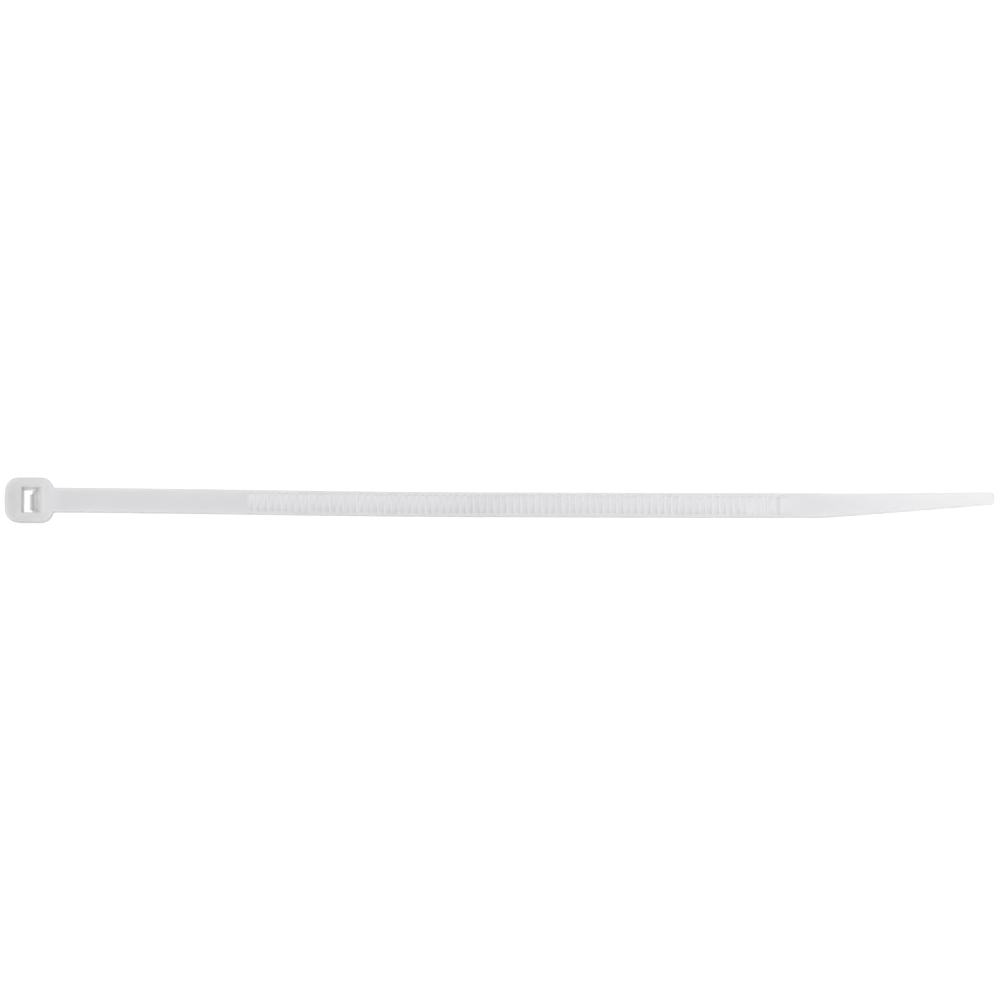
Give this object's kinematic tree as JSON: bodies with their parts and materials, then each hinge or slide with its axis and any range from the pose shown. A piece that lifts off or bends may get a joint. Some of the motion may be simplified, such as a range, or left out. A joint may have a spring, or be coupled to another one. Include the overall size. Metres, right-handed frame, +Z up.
{
  "type": "cable tie",
  "caption": "Miniature one-piece nylon cable tie with a toothed strap, a tapered tail and a slotted head that holds a sprung pawl.",
  "frame": {"origin": "below the middle of the tie's overall box, on the surface that the tie lies on", "axes": "+X from the head to the tip of the tail, +Y across the strap, +Z up, the side that the teeth and the mouth of the slot are on"},
  "size_m": [0.1, 0.0046, 0.0033],
  "materials": {
    "natural_nylon": "satin, natural translucent nylon"
  },
  "bodies": {
    "root": {"cable_tie": "natural_nylon"}
  },
  "joints": []
}
